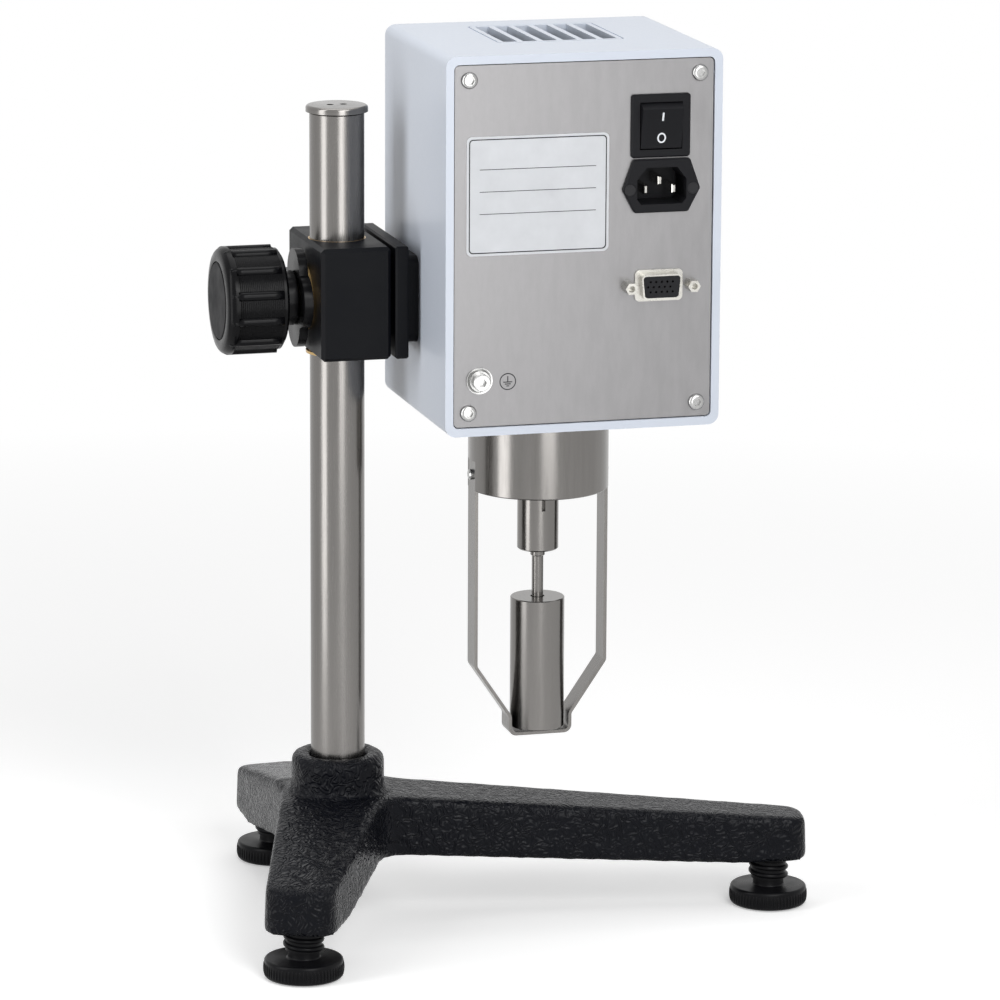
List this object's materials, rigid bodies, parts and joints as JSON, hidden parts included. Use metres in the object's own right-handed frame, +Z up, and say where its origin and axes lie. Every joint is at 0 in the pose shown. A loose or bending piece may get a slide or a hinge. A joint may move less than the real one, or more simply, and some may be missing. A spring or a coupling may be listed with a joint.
{
  "type": "rotational viscometer",
  "caption": "Bench rotational viscometer: upright box head with rear sockets, clamped by a side knob to a steel column on a three-legged cast base, spindle and guard hanging below.",
  "frame": {"origin": "axis of the column at the level of the table", "axes": "+Z up the column, +X from the column to the head, -Y out of the head's rear panel with the sockets, +Y out of the display side"},
  "size_m": [0.276, 0.2262, 0.412],
  "materials": {
    "black_enamel": "wrinkle paint, satin with bright glints",
    "stainless": "drawn and polished",
    "black_steel": "blackened",
    "black_plastic": "glossy",
    "knob_insert": "satin",
    "pad_rubber": "matt",
    "bronze": "turned",
    "black_anodised": "black anodised satin",
    "white_paint": "fine powder coat",
    "satin_steel": "satin, brushed upright",
    "screw_steel": "plated",
    "socket_plastic": "fine grain",
    "pin_metal": "bright",
    "tin_plate": "tinned",
    "blue_plastic": "moulded",
    "front_plastic": "film over plastic",
    "window": "clear",
    "circuit_board": "lacquered",
    "frame_aluminium": "milled",
    "motor_case": "satin",
    "spring_steel": "bright",
    "sensor_plastic": "moulded",
    "spindle_steel": "fine turned"
  },
  "bodies": {
    "stand": {"base_casting": "black_enamel", "column_rod": "stainless", "column_cap": "stainless", "column_bolt": "black_steel"},
    "pad_long": {"foot_pad_long": "pad_rubber"},
    "foot_long": {"foot_screw_long": "black_plastic"},
    "pad_rear_side": {"foot_pad_rear_side": "pad_rubber"},
    "foot_rear_side": {"foot_screw_rear_side": "black_plastic"},
    "pad_front_side": {"foot_pad_front_side": "pad_rubber"},
    "foot_front_side": {"foot_screw_front_side": "black_plastic"},
    "bush": {"height_bush": "bronze"},
    "thrust": {"thrust_pad": "bronze"},
    "knob": {"clamp_knob": "black_plastic", "knob_cap": "knob_insert", "clamp_stud": "black_steel"},
    "ring": {"lock_ring": "black_plastic"},
    "rocker": {"switch_rocker": "socket_plastic"},
    "key_1": {"key_1": "front_plastic"},
    "key_2": {"key_2": "front_plastic"},
    "key_3": {"key_3": "front_plastic"},
    "key_4": {"key_4": "front_plastic"},
    "drive": {"drive_hub": "frame_aluminium", "hairspring": "spring_steel"},
    "spindle": {"pivot_shaft": "spring_steel", "spindle_holder": "spindle_steel", "spindle_nut": "spindle_steel", "spindle": "spindle_steel"},
    "head": {"guard": "stainless", "collar": "stainless", "mount_screws": "black_steel", "collar_screws": "black_steel", "clamp_nut": "bronze", "clamp_block": "black_anodised", "mount_plate": "black_anodised", "housing_shell": "white_paint", "rear_panel": "satin_steel", "rear_panel_screws": "screw_steel", "inlet_screws": "screw_steel", "guard_screws": "screw_steel", "earth_screw": "screw_steel", "serial_jacks": "screw_steel", "switch_bezel": "socket_plastic", "power_inlet": "socket_plastic", "inlet_pins": "pin_metal", "serial_shell": "tin_plate", "earth_washers": "tin_plate", "serial_insert": "blue_plastic", "front_panel": "front_plastic", "display_window": "window", "display_module": "circuit_board", "key_board": "circuit_board", "main_board": "circuit_board", "bearing_plate": "frame_aluminium", "frame_pillars": "frame_aluminium", "motor_plate": "frame_aluminium", "board_standoffs": "frame_aluminium", "drive_motor": "motor_case", "power_supply": "motor_case", "jewel_bearing": "spring_steel", "optical_sensors": "sensor_plastic"}
  },
  "joints": [
    {"name": "foot_lift_long", "type": "slide", "parent": "stand", "child": "pad_long", "axis": [0, 0, 1], "range_m": [-0.0063, 0.0063]},
    {"name": "foot_turn_long", "type": "hinge", "parent": "pad_long", "child": "foot_long", "pos_m": [0.20039, -0.03246, 0], "axis": [0, 0, 1], "range_deg": [-541, 541]},
    {"name": "foot_lift_rear_side", "type": "slide", "parent": "stand", "child": "pad_rear_side", "axis": [0, 0, 1], "range_m": [-0.0063, 0.0063]},
    {"name": "foot_turn_rear_side", "type": "hinge", "parent": "pad_rear_side", "child": "foot_rear_side", "pos_m": [-0.03805, -0.09053, 0], "axis": [0, 0, 1], "range_deg": [-541, 541]},
    {"name": "foot_lift_front_side", "type": "slide", "parent": "stand", "child": "pad_front_side", "axis": [0, 0, 1], "range_m": [-0.0063, 0.0063]},
    {"name": "foot_turn_front_side", "type": "hinge", "parent": "pad_front_side", "child": "foot_front_side", "pos_m": [-0.00753, 0.09791, 0], "axis": [0, 0, 1], "range_deg": [-541, 541]},
    {"name": "head_height", "type": "slide", "parent": "stand", "child": "bush", "axis": [0, 0, 1], "range_m": [-0.024, 0.054]},
    {"name": "head_swing", "type": "hinge", "parent": "bush", "child": "head", "pos_m": [0, 0, 0.2936], "axis": [0, 0, 1], "continuous": true},
    {"name": "clamp_push", "type": "slide", "parent": "head", "child": "thrust", "axis": [1, 0, 0], "range_m": [-0.00301, 0]},
    {"name": "knob_turn", "type": "hinge", "parent": "thrust", "child": "knob", "pos_m": [-0.056, 0, 0.2936], "axis": [1, 0, 0], "range_deg": [-720, 0]},
    {"name": "ring_turn", "type": "hinge", "parent": "head", "child": "ring", "pos_m": [-0.0206, 0, 0.2936], "axis": [1, 0, 0], "range_deg": [0, 90]},
    {"name": "switch_rock", "type": "hinge", "parent": "head", "child": "rocker", "pos_m": [0.1309, -0.0715, 0.37805], "axis": [-1, 0, 0], "range_deg": [0, 24.4]},
    {"name": "key_press_1", "type": "slide", "parent": "head", "child": "key_1", "axis": [0, -1, 0], "range_m": [0, 0.0008], "stiffness_N_per_m": 600, "springref_m": -0.0002},
    {"name": "key_press_2", "type": "slide", "parent": "head", "child": "key_2", "axis": [0, -1, 0], "range_m": [0, 0.0008], "stiffness_N_per_m": 600, "springref_m": -0.0002},
    {"name": "key_press_3", "type": "slide", "parent": "head", "child": "key_3", "axis": [0, -1, 0], "range_m": [0, 0.0008], "stiffness_N_per_m": 600, "springref_m": -0.0002},
    {"name": "key_press_4", "type": "slide", "parent": "head", "child": "key_4", "axis": [0, -1, 0], "range_m": [0, 0.0008], "stiffness_N_per_m": 600, "springref_m": -0.0002},
    {"name": "drive_turn", "type": "hinge", "parent": "head", "child": "drive", "pos_m": [0.0958, 0, 0.26], "axis": [0, 0, 1], "continuous": true},
    {"name": "spindle_twist", "type": "hinge", "parent": "drive", "child": "spindle", "pos_m": [0.0958, 0, 0.2], "axis": [0, 0, 1], "range_deg": [-85, 0], "stiffness_Nm_per_rad": 0.0005}
  ],
  "couplings": [
    {"joint": "foot_turn_long", "follows": "foot_lift_long", "rad_per_m": 1496},
    {"joint": "foot_turn_rear_side", "follows": "foot_lift_rear_side", "rad_per_m": 1496},
    {"joint": "foot_turn_front_side", "follows": "foot_lift_front_side", "rad_per_m": 1496},
    {"joint": "clamp_push", "follows": "knob_turn", "m_per_rad": 0.00023873}
  ]
}
